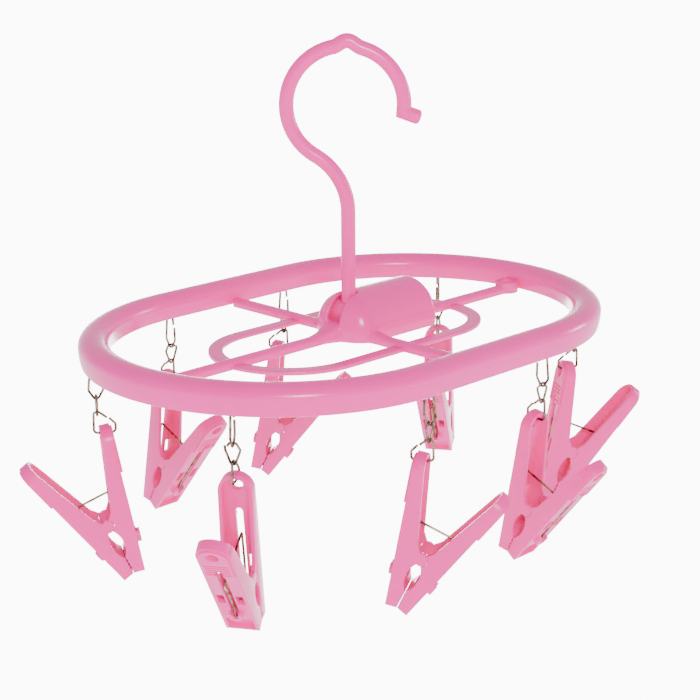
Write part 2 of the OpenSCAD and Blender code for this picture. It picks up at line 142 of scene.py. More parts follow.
@dataclass(frozen=True)
class MouldedPolypropylene:
    """Injection-moulded polypropylene: slightly see-through, so thin walls glow from inside.

    Attributes:
        name: The finish's name.
        colour: The plastic's colour in a thick wall.
        thin_colour: Its colour where flow left it a little paler.
        roughness: How far from a mirror the mould's surface left it.
        peel: How deep the fine unevenness of the moulded skin is drawn, in metres.
        peel_size: The size of that unevenness, in metres.
        glow: How far light travels inside the plastic, in metres.
        cloud_size: The size of the slow wandering of colour, in metres.
        wave_size: The size of the waviness that sink marks leave, in metres.
        gloss_size: The size of the patches of different gloss, in metres.
        ior: Polypropylene's index of refraction.
    """

    name: str
    colour: str
    thin_colour: str
    roughness: float
    peel: float
    peel_size: float
    glow: float
    cloud_size: float = 0.040
    wave_size: float = 0.015
    gloss_size: float = 0.006
    ior: float = 1.49

    def make(self) -> bpy.types.Material:
        """Builds the material on object coordinates.

        Returns:
            The material: colour wanders slowly over 40 mm, roughness over 6 mm, and the skin
            has a fine peel and a slow 15 mm waviness, as sink marks leave.
        """
        material, tree = new_material(self.name)
        place = add_node(tree, "ShaderNodeTexCoord", {}).outputs["Object"]
        slow = add_node(
            tree, "ShaderNodeTexNoise",
            {"Vector": place, "Scale": 1 / self.cloud_size, "Detail": 2.0},
        )
        fine = add_node(
            tree, "ShaderNodeTexNoise",
            {"Vector": place, "Scale": 1 / self.peel_size, "Detail": 3.0},
        )
        wave = add_node(
            tree, "ShaderNodeTexNoise",
            {"Vector": place, "Scale": 1 / self.wave_size, "Detail": 1.0},
        )
        cloud = add_node(
            tree, "ShaderNodeTexNoise",
            {"Vector": place, "Scale": 1 / self.gloss_size, "Detail": 2.0},
        )
        colour = add_node(
            tree, "ShaderNodeMix",
            {0: slow.outputs["Fac"], 6: linear(self.colour), 7: linear(self.thin_colour)},
            data_type="RGBA",
        )
        rough = add_node(
            tree, "ShaderNodeMapRange",
            {
                "Value": cloud.outputs["Fac"],
                "To Min": self.roughness - 0.04,
                "To Max": self.roughness + 0.06,
            },
        )
        waves = add_node(
            tree, "ShaderNodeBump",
            {"Height": wave.outputs["Fac"], "Distance": 3 * self.peel, "Strength": 0.5},
        )
        skin = add_node(
            tree, "ShaderNodeBump",
            {
                "Height": fine.outputs["Fac"],
                "Distance": self.peel,
                "Strength": 0.6,
                "Normal": waves.outputs["Normal"],
            },
        )
        shader = add_node(
            tree, "ShaderNodeBsdfPrincipled",
            {
                "Base Color": colour.outputs[2],
                "Roughness": rough.outputs["Result"],
                "Normal": skin.outputs["Normal"],
                "IOR": self.ior,
                "Subsurface Weight": 0.35,
                "Subsurface Radius": (1.0, 0.32, 0.45),
                "Subsurface Scale": self.glow,
            },
        )
        add_node(tree, "ShaderNodeOutputMaterial", {"Surface": shader.outputs["BSDF"]})
        return material


@dataclass(frozen=True)
class DrawnWire:
    """Steel wire drawn through a die and plated: fine lines run along it.

    Attributes:
        name: The finish's name.
        bright: The plating's colour where it is rubbed.
        dull: Its colour where it has tarnished.
        roughness: How far from a mirror the drawing left it.
        line: The spacing at which the drawing lines are shown, coarser than real, in metres.
        line_depth: How deep the lines are, in metres.
        stretch: How many times longer than wide a line is.
        tarnish_size: The size of the clouds of tarnish, in metres.
    """

    name: str
    bright: str
    dull: str
    roughness: float
    line: float
    line_depth: float = 0.00002
    stretch: float = 40.0
    tarnish_size: float = 0.003

    def make(self) -> bpy.types.Material:
        """Builds the material on the piece's own UV map, in metres along and round the wire.

        Returns:
            The material: lines stretched 40 times along the wire, and tarnish in 3 mm clouds.
        """
        material, tree = new_material(self.name)
        along = add_node(tree, "ShaderNodeUVMap", {}, uv_map="wire").outputs["UV"]
        stretched = add_node(
            tree, "ShaderNodeMapping",
            {"Vector": along, "Scale": (1 / self.stretch, 1.0, 1.0)},
        )
        lines = add_node(
            tree, "ShaderNodeTexNoise",
            {"Vector": stretched.outputs[0], "Scale": 1 / self.line, "Detail": 2.0},
        )
        place = add_node(tree, "ShaderNodeTexCoord", {}).outputs["Object"]
        tarnish = add_node(
            tree, "ShaderNodeTexNoise",
            {"Vector": place, "Scale": 1 / self.tarnish_size, "Detail": 4.0},
        )
        patch = add_node(
            tree, "ShaderNodeMapRange",
            {"Value": tarnish.outputs["Fac"], "From Min": 0.38, "From Max": 0.62},
        )
        colour = add_node(
            tree, "ShaderNodeMix",
            {0: patch.outputs["Result"], 6: linear(self.dull), 7: linear(self.bright)},
            data_type="RGBA",
        )
        rough = add_node(
            tree, "ShaderNodeMapRange",
            {
                "Value": lines.outputs["Fac"],
                "To Min": self.roughness - 0.08,
                "To Max": self.roughness + 0.12,
            },
        )
        bump = add_node(
            tree, "ShaderNodeBump",
            {"Height": lines.outputs["Fac"], "Distance": self.line_depth, "Strength": 0.5},
        )
        shader = add_node(
            tree, "ShaderNodeBsdfPrincipled",
            {
                "Base Color": colour.outputs[2],
                "Metallic": 1.0,
                "Roughness": rough.outputs["Result"],
                "Normal": bump.outputs["Normal"],
            },
        )
        add_node(tree, "ShaderNodeOutputMaterial", {"Surface": shader.outputs["BSDF"]})
        return material


class Finish(Enum):
    """The hanger's finishes, by what the real parts are made of."""

    # Polished mould: glossy pink with soft inner glow.
    FRAME = MouldedPolypropylene(
        name="polypropylene_moulded_gloss", colour="#FA1E9D", thin_colour="#FC2AA4",
        roughness=0.20, peel=0.00003, peel_size=0.0009, glow=0.0020,
    )
    # The clips' mould is a little less polished, so their highlights are broader.
    CLIP = MouldedPolypropylene(
        name="polypropylene_moulded_satin", colour="#F91C9A", thin_colour="#FB28A1",
        roughness=0.30, peel=0.00004, peel_size=0.0007, glow=0.0016,
    )
    # Cheap nickel over steel, gone brownish.
    CHAIN = DrawnWire(
        name="steel_wire_nickelled", bright="#A08670", dull="#4E3B30", roughness=0.30, line=0.00012
    )
    # Spring wire with a warm flash of brass.
    SPRING = DrawnWire(
        name="spring_wire_brass_flashed", bright="#B08E66", dull="#5E4634", roughness=0.26,
        line=0.00010,
    )

    def material(self) -> bpy.types.Material:
        """Returns the finish's material, made once."""
        return bpy.data.materials.get(self.value.name) or self.value.make()


# ---- surfaces ----


@dataclass
class Shell:
    """A closed surface: points, four-sided faces, three-sided faces and each point's UV place."""

    points: Array
    quads: Array
    triangles: Array = field(default_factory=lambda: np.zeros((0, 3), int))
    uv: Array | None = None

    def moved(self, matrix: Array) -> Shell:
        """Returns the shell carried by a 4 by 4 matrix."""
        points = self.points @ matrix[:3, :3].T + matrix[:3, 3]
        return Shell(points, self.quads, self.triangles, self.uv)


def joined(shells: Sequence[Shell]) -> Shell:
    """Puts several shells into one, each still closed by itself.

    Args:
        shells: The shells, all with UV places or all without.

    Returns:
        One shell.
    """
    starts = np.cumsum([0] + [len(s.points) for s in shells])
    uv = None if shells[0].uv is None else np.concatenate([s.uv for s in shells])
    return Shell(
        np.concatenate([s.points for s in shells]),
        np.concatenate([s.quads + start for s, start in zip(shells, starts)]),
        np.concatenate([s.triangles + start for s, start in zip(shells, starts)]),
        uv,
    )


def grid_shell(grid: Array, closed_path: bool, uv: Array | None = None) -> Shell:
    """Joins a grid of points into a surface that closes round its section.

    Args:
        grid: Points as (rings, points round a ring, 3).
        closed_path: Whether the last ring joins the first; if not, both ends are capped with a fan.
        uv: The points' UV places as (rings, points round a ring, 2).

    Returns:
        The shell. Face (i, k) joins points k and k + 1 of ring i to the same points of ring i + 1.
    """
    rings, sides = grid.shape[:2]
    index = np.arange(rings * sides).reshape(rings, sides)
    after = np.roll(index, -1, axis=0) if closed_path else index[1:]
    first = index if closed_path else index[:-1]
    corners = [first, after, np.roll(after, -1, axis=1), np.roll(first, -1, axis=1)]
    quads = np.stack(corners, axis=-1).reshape(-1, 4)
    points = grid.reshape(-1, 3)
    flat_uv = None if uv is None else uv.reshape(-1, 2)
    if closed_path:
        return Shell(points, quads, uv=flat_uv)
    count = len(points)
    centres = np.stack([grid[0].mean(axis=0), grid[-1].mean(axis=0)])
    fan_a = np.stack([np.full(sides, count), index[0], np.roll(index[0], -1)], axis=-1)
    fan_b = np.stack([np.full(sides, count + 1), np.roll(index[-1], -1), index[-1]], axis=-1)
    if flat_uv is not None:
        flat_uv = np.concatenate([flat_uv, flat_uv[:1], flat_uv[-1:]])
    return Shell(np.concatenate([points, centres]), quads, np.concatenate([fan_a, fan_b]), flat_uv)


def rounded_path(corners: Sequence[Sequence[float]], radius: float, closed: bool = False) -> Array:
    """Rounds the corners of a flat path.

    Args:
        corners: The corners in the plane.
        radius: The bend's radius, made smaller where a side is short.
        closed: Whether the path closes on itself.

    Returns:
        Points along the path: each inner corner becomes a quadratic curve, close to an arc, that
        touches both its sides at radius * tan(turn / 2) from the corner.
    """
    p = np.asarray(corners, float)
    before, after = np.roll(p, 1, axis=0) - p, np.roll(p, -1, axis=0) - p
    lengths = np.minimum(np.linalg.norm(before, axis=1), np.linalg.norm(after, axis=1))
    out: list[Array] = []
    for i in range(len(p)):
        if not closed and i in (0, len(p) - 1):
            out.append(p[i : i + 1])
            continue
        a, b = before[i] / np.linalg.norm(before[i]), after[i] / np.linalg.norm(after[i])
        turn = math.pi - math.acos(float(np.clip(a @ b, -1, 1)))
        reach = min(radius * math.tan(turn / 2), BEND_SHARE * lengths[i])
        t = np.linspace(0, 1, BEND_POINTS)[:, None]
        start, end = p[i] + reach * a, p[i] + reach * b
        out.append((1 - t) ** 2 * start + 2 * t * (1 - t) * p[i] + t**2 * end)
    return np.concatenate(out)


def rod_shell(path: Array, radius: float | Array, sides: int, closed: bool = False) -> Shell:
    """A round rod along a flat path in the XZ plane, mitred at sharp corners.

    Args:
        path: The middle line as (points, 2), X and Z.
        radius: The rod's radius, one or one for each point.
        sides: Points round the rod.
        closed: Whether the rod closes on itself.

    Returns:
        The shell. A ring point at angle q is path + r * (cos q * across, sin q * Y), where across
        is square to the mean of the two neighbouring directions and longer at a corner, so that
        both legs keep their thickness. UV is metres along and metres round.
    """
    step = np.roll(path, -1, axis=0) - path
    way = step / np.maximum(np.linalg.norm(step, axis=1, keepdims=True), 1e-12)
    came = np.roll(way, 1, axis=0)
    if not closed:
        way[-1], came[0] = way[-2], way[0]
    mean = (way + came) / 2
    square = np.stack([mean[:, 1], -mean[:, 0]], axis=1)
    across = square / np.maximum((mean**2).sum(axis=1, keepdims=True), MITRE_FLOOR)
    q = np.linspace(0, 2 * math.pi, sides, endpoint=False)
    r = np.broadcast_to(radius, (len(path),))[:, None]
    x = path[:, :1] + r * np.cos(q) * across[:, :1]
    z = path[:, 1:] + r * np.cos(q) * across[:, 1:]
    y = np.broadcast_to(r * np.sin(q), x.shape)
    along = np.concatenate([[0], np.cumsum(np.linalg.norm(np.diff(path, axis=0), axis=1))])
    uv = np.stack(np.broadcast_arrays(along[:, None], r * q), axis=-1)
    return grid_shell(np.stack([x, y, z], axis=-1), closed, uv)


def box_shell(low: Sequence[float], high: Sequence[float]) -> Shell:
    """A block, as a grid of two square rings with capped ends.

    Args:
        low: The corner with the least X, Y and Z.
        high: The corner with the most.

    Returns:
        The shell.
    """
    (x0, y0, z0), (x1, y1, z1) = low, high
    ring = np.array([[x0, y0], [x1, y0], [x1, y1], [x0, y1]])
    grid = np.stack([np.column_stack([ring, np.full(4, z)]) for z in (z0, z1)])
    return grid_shell(grid, closed_path=False)


def frame_matrix(
    origin: Sequence[float], x_axis: Sequence[float], z_axis: Sequence[float] = (0, 0, 1)
) -> Array:
    """Works out the matrix that carries a local frame into place.

    Args:
        origin: Where the local origin goes.
        x_axis: Where the local X points, at any length.
        z_axis: Where the local Z points, square to X, at any length.

    Returns:
        The 4 by 4 matrix, whose Y column is Z cross X.
    """
    x, z = np.asarray(x_axis, float), np.asarray(z_axis, float)
    matrix = np.eye(4)
    matrix[:3, 0] = x / np.linalg.norm(x)
    matrix[:3, 2] = z / np.linalg.norm(z)
    matrix[:3, 1] = np.cross(matrix[:3, 2], matrix[:3, 0])
    matrix[:3, 3] = origin
    return matrix


def make_piece(name: str, shell: Shell, smooth_angle: float = 40) -> bpy.types.Object:
    """Makes a Blender object of a shell, with outward faces.

    Args:
        name: The piece's name.
        shell: The closed surface.
        smooth_angle: Edges that turn more than this, in degrees, stay sharp.

    Returns:
        The object, at the origin.
    """
    mesh = bpy.data.meshes.new(name)
    mesh.from_pydata(shell.points.tolist(), [], shell.quads.tolist() + shell.triangles.tolist())
    if shell.uv is not None:
        loops = np.empty(len(mesh.loops), np.int32)
        mesh.loops.foreach_get("vertex_index", loops)
        mesh.uv_layers.new(name="wire").data.foreach_set("uv", shell.uv[loops].ravel().astype(np.float32))
    bm = bmesh.new()
    bm.from_mesh(mesh)
    bmesh.ops.recalc_face_normals(bm, faces=bm.faces)
    bm.to_mesh(mesh)
    bm.free()
    return show(name, mesh, smooth_angle)


def show(name: str, mesh: bpy.types.Mesh, smooth_angle: float) -> bpy.types.Object:
    """Links a mesh into the scene, shaded smooth between its sharp edges.

    Args:
        name: The object's name.
        mesh: The mesh.
        smooth_angle: Edges that turn more than this, in degrees, stay sharp.

    Returns:
        The object, at the origin.
    """
    mesh.polygons.foreach_set("use_smooth", np.ones(len(mesh.polygons), bool))
    mesh.set_sharp_from_angle(angle=math.radians(smooth_angle))
    piece = bpy.data.objects.new(name, mesh)
    bpy.context.scene.collection.objects.link(piece)
    return piece


def dress(piece: bpy.types.Object, finish: Finish, body: str, slot: str, *nodes: str) -> None:
    """Finishes a piece and ties it to the frame.

    Args:
        piece: The piece, in place.
        finish: Its finish.
        body: The CAD body that it rides on.
        slot: The record's material slot; not used.
        *nodes: The CAD nodes that it replaces.
    """
    piece.data.materials.clear()
    piece.data.materials.append(finish.material())
    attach(piece, body)
    if nodes:
        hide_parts(*nodes)
    log.info("%s: %d faces on %s", piece.name, len(piece.data.polygons), body)


def merged_copy(name: str, *nodes: str) -> bmesh.types.BMesh:
    """Copies CAD nodes into one mesh and merges their loose triangles.

    Args:
        name: Only for the log.
        *nodes: The CAD nodes.

    Returns:
        The mesh, with points closer than a thousandth of a millimetre merged.
    """
    bm = bmesh.new()
    for node in nodes:
        bm.from_mesh(frame["nodes"][node].data)
    bmesh.ops.remove_doubles(bm, verts=bm.verts, dist=0.000001)
    log.info("%s: copied %s", name, ", ".join(nodes))
    return bm


def modified(piece: bpy.types.Object) -> bpy.types.Mesh:
    """Applies a piece's modifiers and deletes the piece.

    Args:
        piece: An object that is only a step towards a finished one.

    Returns:
        The mesh that its modifiers made.
    """
    evaluated = piece.evaluated_get(bpy.context.evaluated_depsgraph_get())
    mesh = bpy.data.meshes.new_from_object(evaluated)
    bpy.data.objects.remove(piece)
    return mesh


def joint(name: str) -> dict[str, Any]:
    """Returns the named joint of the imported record."""
    return next(j for j in frame["joints"] if j["name"] == name)


# ---- sub-assemblies ----


@dataclass
class Oval:
    """A stadium-shaped middle line: two straight sides and two half-round ends."""

    spine: float
    radius: float
    steps: int = 64

    def sweep(self, section: Array, level: float) -> Shell:
        """Carries a closed section round the oval.

        Args:
            section: Points as (n, 2), outward from the middle line and up.
            level: The height that the section's zero stands at.

        Returns:
            The shell. With q the outward direction's angle, a point is
            (c + (R + out) cos q, (R + out) sin q, level + up), where c runs from +spine to -spine
            and back along the straight sides while q stands still.
        """
        quarter = np.linspace(-math.pi / 2, math.pi / 2, self.steps)
        side = np.linspace(1, -1, self.steps // 2)[1:-1]
        still = np.full(len(side), math.pi / 2)
        q = np.concatenate([quarter, still, quarter + math.pi, -still])
        c = self.spine * np.concatenate([np.ones(self.steps), side, -np.ones(self.steps), -side])
        reach = self.radius + section[None, :, 0]
        x = c[:, None] + reach * np.cos(q)[:, None]
        y = reach * np.sin(q)[:, None]
        z = np.broadcast_to(level + section[None, :, 1], x.shape)
        return grid_shell(np.stack([x, y, z], axis=-1), closed_path=True)


@dataclass
class Rim:
    """The hollow oval rim, open below, with the bars that the chains hang on."""

    thick: float = 14 * MM
    wall: float = 1.8 * MM
    top: float = 10.9 * MM
    bulge: float = 5.5 * MM
    drop_out: float = 2.4 * MM
    drop_in: float = 1.2 * MM
    draft: float = 1.1 * MM
    lip: float = 0.8 * MM
    bar_r: float = 1.2 * MM
    web_gap: float = 4.4 * MM
    web_t: float = 1.5 * MM
    web_low: float = -1.0 * MM
    web_high: float = 8.0 * MM
    web_edge: float = 0.25 * MM

    def level(self) -> float:
        """The height of the spokes' middle, which every height here is measured from."""
        return float(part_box("rim_crown")[1][2]) - self.top

    def half_wall(self, inset: float, drop: float, side: int) -> Array:
        """One side wall of the section, from its lower edge to its widest level.

        Args:
            inset: How far the wall is taken in from the outside.
            drop: How far the edge reaches below the spokes' middle.
            side: 1 for the outer side, -1 for the inner one.

        Returns:
            Points with out = half - draft * (1 - t) ** 2 and t running evenly up the wall, so
            that the wall meets the dome without a kink.
        """
        t = np.linspace(0, 1, 9)
        out = self.thick / 2 - inset - self.draft * (1 - t) ** 2
        return np.column_stack([side * out, -drop + (self.bulge + drop) * t])

    def section(self) -> Array:
        """Works out the rim's closed section.

        Returns:
            Points over the dome outside and back through the hollow, with round lips. A dome's
            point at angle a is (half * cos a, bulge + rise * sin a), and the hollow's is one wall
            less in both half and rise.
        """
        a = np.linspace(0, math.pi, 33)[1:-1]
        half, rise = self.thick / 2, self.top - self.bulge
        dome = np.column_stack([half * np.cos(a), self.bulge + rise * np.sin(a)])
        hollow_half, hollow_rise = half - self.wall, rise - self.wall
        hollow = np.column_stack([hollow_half * np.cos(a), self.bulge + hollow_rise * np.sin(a)])[::-1]
        outside = np.concatenate([
            self.half_wall(0, self.drop_out, 1),
            dome,
            self.half_wall(0, self.drop_in, -1)[::-1],
        ])
        inside = np.concatenate([
            self.half_wall(self.wall, self.drop_in, -1),
            hollow,
            self.half_wall(self.wall, self.drop_out, 1)[::-1],
        ])
        inner_lip = self.round_lip(outside[-1], inside[0])
        outer_lip = self.round_lip(inside[-1], outside[0])
        return np.concatenate([inner_lip, inside[1:-1], outer_lip, outside[1:-1]])

    def round_lip(self, start: Array, end: Array) -> Array:
        """Rounds a lower edge between two points of the section.

        Args:
            start: The point that the section comes from.
            end: The point that it goes on to.

        Returns:
            Points middle - half * cos a + lip * (1 - sin a) upwards, with a from 0 to 180 degrees.
        """
        middle, half = (start + end) / 2, (end - start) / 2
        a = np.linspace(0, math.pi, 9)[:, None]
        down = np.array([[0, -self.lip]])
        return middle - half * np.cos(a) + down * np.sin(a) + np.array([[0, self.lip]])

    def build(self) -> None:
        """Makes the rim and its bars."""
        low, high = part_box("rim_outer_skirt")
        radius = float(high[1] - low[1]) / 2 - self.thick / 2
        spine = float(high[0] - low[0]) / 2 - radius - self.thick / 2
        shell = Oval(spine, radius, 96).sweep(self.section(), self.level())
        walls = ("rim_crown", "rim_outer_skirt", "rim_inner_skirt")
        dress(make_piece("rim_moulding", shell), Finish.FRAME, "frame", "frame_plastic", *walls)
        anchors = joined([part for i in CLIPS for part in self.anchor(i)])
        piece = make_piece("rim_chain_bars", anchors, 30)
        bevel = piece.modifiers.new("soft edges", "BEVEL")
        bevel.width, bevel.segments, bevel.limit_method = self.web_edge, 2, "ANGLE"
        dress(piece, Finish.FRAME, "frame", "frame_plastic", "chain_bars")

    def anchor(self, clip: int) -> list[Shell]:
        """Makes what one chain hangs on.

        Args:
            clip: The clip's number.

        Returns:
            Two webs across the rim's hollow, and the round bar between them.
        """
        sway = joint(f"clip_{clip}_chain_sway")
        ax = sway["axis"]
        place = frame_matrix(sway["pos_m"], (-ax[1], ax[0], 0))
        half = self.thick / 2 - self.wall / 2
        webs = []
        for side in (-1, 1):
            near, far = sorted((side * self.web_gap, side * (self.web_gap + self.web_t)))
            webs.append(box_shell((-half, near, self.web_low), (half, far, self.web_high)))
        reach = self.web_gap + self.web_t / 2
        bar = rod_shell(np.array([[0, -reach], [0, reach]]), self.bar_r, 24)
        turn = np.eye(4)
        turn[:3, :3] = [[1, 0, 0], [0, 0, -1], [0, 1, 0]]
        shells = [w.moved(place) for w in webs] + [bar.moved(turn).moved(place)]
        for s in shells:
            s.uv = None
        return shells


@dataclass
class InnerLoop:
    """The flat oval band that the spokes cross."""

    band: float = 6.8 * MM
    edge: float = 0.7 * MM

    def build(self) -> None:
        """Makes the band: a rounded oblong carried round its oval."""
        low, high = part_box("inner_loop")
        radius = float(high[1] - low[1]) / 2 - self.band / 2
        spine = float(high[0] - low[0]) / 2 - self.band / 2 - radius
        half, thick = self.band / 2, float(high[2] - low[2])
        corners = [(-half, 0), (half, 0), (half, thick), (-half, thick)]
        section = rounded_path(corners, self.edge, closed=True)
        shell = Oval(spine, radius, 72).sweep(section, float(low[2]))
        dress(make_piece("loop_band", shell), Finish.FRAME, "frame", "frame_plastic", "inner_loop")


@dataclass
class Cross:
    """The spokes and the hub shell, run together with the soft fillets of one moulding."""

    voxel: float = 0.5 * MM
    rounds: int = 7
    root_reach: tuple[float, ...] = (9 * MM, 14 * MM, 19 * MM, 25 * MM)
    root_width: tuple[float, ...] = (16.5 * MM, 12 * MM, 8.4 * MM, 6.0 * MM)
    root_top: tuple[float, ...] = (6.5 * MM, 4.4 * MM, 2.9 * MM, 2.1 * MM)
    bottom: float = -2.25 * MM
    hub_r: float = 17.5 * MM
    hub_nose: float = 12 * MM
    hub_wall: float = 2 * MM
    hub_axis: float = 2 * MM
    patch_half: float = 7.5 * MM
    patch_low: float = -2.0
    patch_high: float = 52.0

    def root(self, angle: float, level: float) -> Shell:
        """Makes the flared root of a spoke.

        Args:
            angle: The spoke's direction about Z.
            level: The height of the spokes' middle.

        Returns:
            A shell through oblong sections that narrow away from the hub.
        """
        rings = []
        for reach, width, top in zip(self.root_reach, self.root_width, self.root_top):
            w = width / 2
            corners = [(-w, self.bottom), (w, self.bottom), (0.75 * w, top), (-0.75 * w, top)]
            flat = rounded_path(corners, 2 * MM, closed=True)
            rings.append(np.column_stack([np.full(len(flat), reach), flat[:, 0], level + flat[:, 1]]))
        turn = frame_matrix((0, 0, 0), (math.cos(angle), math.sin(angle), 0))
        return grid_shell(np.stack(rings), closed_path=False).moved(turn)

    def patch(self, side: int, level: float) -> Shell:
        """Closes the hub's wall over the blind end of one journal's bore.

        Args:
            side: 1 for the +Y wall, -1 for the other.
            level: The height of the spokes' middle.

        Returns:
            The wall's section in length x and radius, turned about the hub's axis from patch_low
            to patch_high degrees over the level. The outside is hub_r * sqrt(1 - (x / nose) ** 2)
            on the nose and hub_r behind it, and the inside is one wall less.
        """
        x = np.linspace(-self.patch_half, self.patch_half, 25)
        outer = self.hub_r * np.sqrt(1 - (np.minimum(x, 0) / self.hub_nose) ** 2)
        inner = outer - self.hub_wall
        section = np.concatenate([np.column_stack([x, outer]), np.column_stack([x, inner])[::-1]])
        a = np.radians(np.linspace(self.patch_low, self.patch_high, 28))[:, None]
        y = side * section[None, :, 1] * np.cos(a)
        z = level + self.hub_axis + section[None, :, 1] * np.sin(a)
        grid = np.stack([np.broadcast_to(section[:, 0], y.shape), y, z], axis=-1)
        return grid_shell(grid, closed_path=False)

    def build(self, level: float) -> None:
        """Makes the piece: copies of both CAD nodes and the roots are fused on a fine grid and
        smoothed, which rounds every outer edge and fills every inner corner by about 1 mm.

        Args:
            level: The height of the spokes' middle.
        """
        bm = merged_copy("cross", "spokes", "hub_housing")
        roots = [self.root(a, level) for a in (math.pi, math.pi / 2, -math.pi / 2)]
        patches = [self.patch(side, level) for side in (1, -1)]
        extra = make_piece("roots", joined(roots + patches))
        bm.from_mesh(extra.data)
        bpy.data.objects.remove(extra)
        mesh = bpy.data.meshes.new("cross")
        bm.to_mesh(mesh)
        bm.free()
        piece = bpy.data.objects.new("cross", mesh)
        bpy.context.scene.collection.objects.link(piece)
        fuse = piece.modifiers.new("fuse", "REMESH")
        fuse.mode, fuse.voxel_size, fuse.use_smooth_shade = "VOXEL", self.voxel, True
        soften = piece.modifiers.new("soften", "SMOOTH")
        soften.factor, soften.iterations = 0.5, self.rounds
        done = show("spokes_and_hub", modified(piece), 60)
        dress(done, Finish.FRAME, "frame", "frame_plastic", "spokes", "hub_housing")


@dataclass
class Hook:
    """The hook: stem, bent neck, open rail ring with a centring hump, and turned-out toe."""

    rod: float = 3.45 * MM
    neck_r: float = 31 * MM
    neck_a: float = 58.9
    ring_r: float = 26.9 * MM
    hump_rise: float = 2.25 * MM
    hump_w: float = 6.5 * MM
    ring_end: float = 7.0
    toe_l: float = 8.3 * MM
    toe_a: float = 20.0
    toe_dome: float = 1.8 * MM
    stem_top: float = 57.4 * MM
    stem_foot: float = 14.4 * MM
    turn: float = -45.0
    toe_clear: float = 3.2 * MM

    def ring_radius(self, a: Array, ring_x: float) -> Array:
        """Works out the ring's radius, with a hump over the stem.

        Args:
            a: Angles about the ring's middle.
            ring_x: The ring's middle, across from the stem.

        Returns:
            The radius at each angle: ring_r, plus hump_rise * (1 + cos(pi * h / hump_w)) / 2 at
            the top where the distance h from the stem is less than hump_w.
        """
        h = ring_x + self.ring_r * np.cos(a)
        near = (np.sin(a) > 0) & (np.abs(h) < self.hump_w)
        hump = np.where(near, (1 + np.cos(math.pi * h / self.hump_w)) / 2, 0)
        return self.ring_r + self.hump_rise * hump

    def path(self) -> tuple[Array, Array]:
        """Works out the rod, in the hook's own plane.

        Returns:
            Its middle line as (points, 2), and its radius at each point: a straight stem, the
            neck's arc, the ring's arc, then the toe from a sharp corner, whose end is a
            quarter-round dome.
        """
        neck = math.radians(self.neck_a)
        ring_x = -self.neck_r + (self.neck_r + self.ring_r) * math.cos(neck)
        ring_z = self.stem_top + (self.neck_r + self.ring_r) * math.sin(neck)
        stem = np.column_stack([np.zeros(12), np.linspace(self.stem_foot, self.stem_top, 12)])[:-1]
        a = np.linspace(0, neck, 28)
        bend_x = -self.neck_r + self.neck_r * np.cos(a)
        bend = np.column_stack([bend_x, self.stem_top + self.neck_r * np.sin(a)])
        end = math.radians(self.ring_end)
        clear = self.toe_clear / self.ring_r
        b = np.linspace(math.pi + neck, -end + clear, 190)[1:]
        r = self.ring_radius(b, ring_x)
        ring = np.column_stack([ring_x + r * np.cos(b), ring_z + r * np.sin(b)])
        corner = np.array([[ring_x + self.ring_r * math.cos(end), ring_z - self.ring_r * math.sin(end)]])
        slope = math.radians(self.toe_a)
        way = np.array([[math.cos(slope), -math.sin(slope)]])
        d = np.linspace(0, math.pi / 2, 9)[:-1]
        toe = corner + (self.toe_l - self.toe_dome * (1 - np.sin(d)))[:, None] * way
        toe_r = self.rod - self.toe_dome * (1 - np.cos(d))
        path = np.concatenate([stem, bend, ring, corner, toe])
        radius = np.concatenate([np.full(len(path) - len(toe), self.rod), toe_r])
        return path, radius

    def build(self, level: float) -> None:
        """Makes the hook's rod, turned to the way that it stands at rest.

        Args:
            level: The height of the spokes' middle.
        """
        path, radius = self.path()
        turn = math.radians(self.turn)
        place = frame_matrix((0, 0, level), (math.cos(turn), math.sin(turn), 0))
        rod = rod_shell(path, radius, 56)
        rod.uv = None
        dress(make_piece("hook_rod", rod.moved(place)), Finish.FRAME, "hook", "hook_plastic", "hook")


